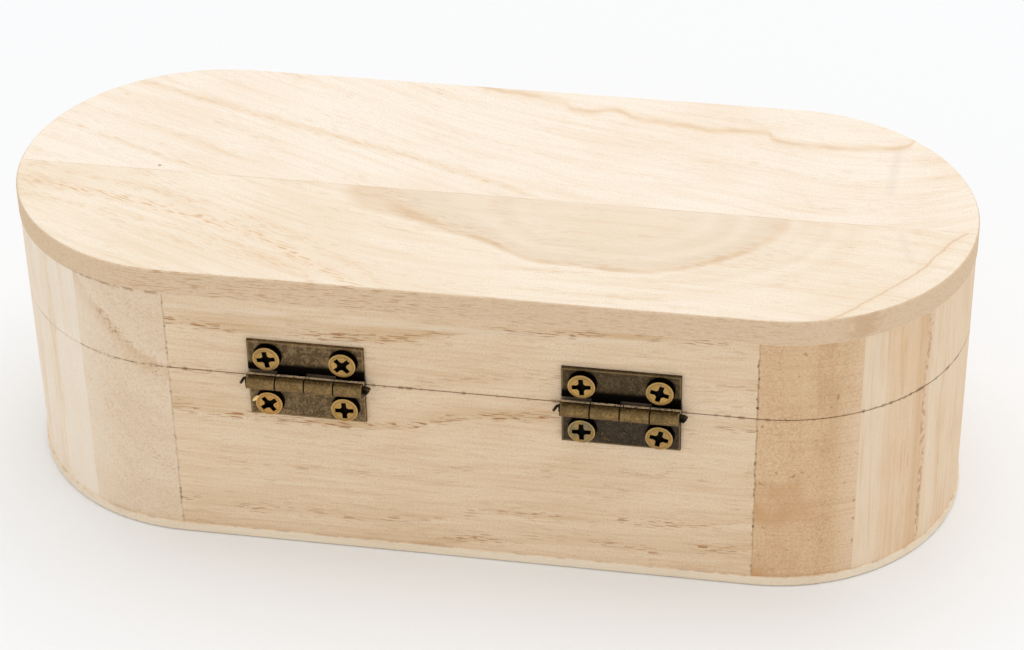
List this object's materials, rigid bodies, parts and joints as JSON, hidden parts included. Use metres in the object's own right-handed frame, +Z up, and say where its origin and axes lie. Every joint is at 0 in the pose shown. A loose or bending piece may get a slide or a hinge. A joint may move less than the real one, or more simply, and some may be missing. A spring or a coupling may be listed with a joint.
{
  "type": "hinged wooden box",
  "caption": "Stadium-shaped raw wooden box with a hinged lid on butt hinges and a swing-hook clasp, for storing cards, game pieces or pencils.",
  "frame": {"origin": "centre of the bottom panel's underside", "axes": "+Z up, +X along the length of the box, +Y towards the hinged back"},
  "size_m": [0.2008, 0.0871, 0.066],
  "materials": {
    "wall_wood": "raw sanded paulownia, long grain",
    "end_wood": "raw sanded paulownia, end grain at the shoulders",
    "top_wood": "raw sanded paulownia, long grain",
    "bottom_wood": "raw thin plywood",
    "hinge_metal": "antiqued brass, dark with rubbed edges",
    "screw_metal": "antiqued brass, rubbed bright"
  },
  "bodies": {
    "base": {"base_back_wall": "wall_wood", "base_front_wall": "wall_wood", "base_hinge_screws": "screw_metal", "base_left_back_shoulder": "end_wood", "base_left_end_cap": "end_wood", "base_left_front_shoulder": "end_wood", "base_right_back_shoulder": "end_wood", "base_right_end_cap": "end_wood", "base_right_front_shoulder": "end_wood", "bottom_panel": "bottom_wood", "clasp_pivot_screw": "screw_metal", "clasp_spacer": "hinge_metal", "left_hinge_base_leaf": "hinge_metal", "left_hinge_pin": "hinge_metal", "right_hinge_base_leaf": "hinge_metal", "right_hinge_pin": "hinge_metal"},
    "lid": {"clasp_catch_screw": "screw_metal", "left_hinge_lid_leaf": "hinge_metal", "lid_back_board": "top_wood", "lid_back_wall": "wall_wood", "lid_front_board": "top_wood", "lid_front_wall": "wall_wood", "lid_hinge_screws": "screw_metal", "lid_left_back_shoulder": "end_wood", "lid_left_end_cap": "end_wood", "lid_left_front_shoulder": "end_wood", "lid_right_back_shoulder": "end_wood", "lid_right_end_cap": "end_wood", "lid_right_front_shoulder": "end_wood", "right_hinge_lid_leaf": "hinge_metal"},
    "hook": {"clasp_hook": "hinge_metal"}
  },
  "joints": [
    {"name": "lid_hinge", "type": "hinge", "parent": "base", "child": "lid", "pos_m": [0, 0.042, 0.0422], "axis": [-1, 0, 0], "range_deg": [0, 170]},
    {"name": "clasp_swing", "type": "hinge", "parent": "base", "child": "hook", "pos_m": [0, -0.04135, 0.0311], "axis": [0, -1, 0], "range_deg": [-155, 180]}
  ]
}
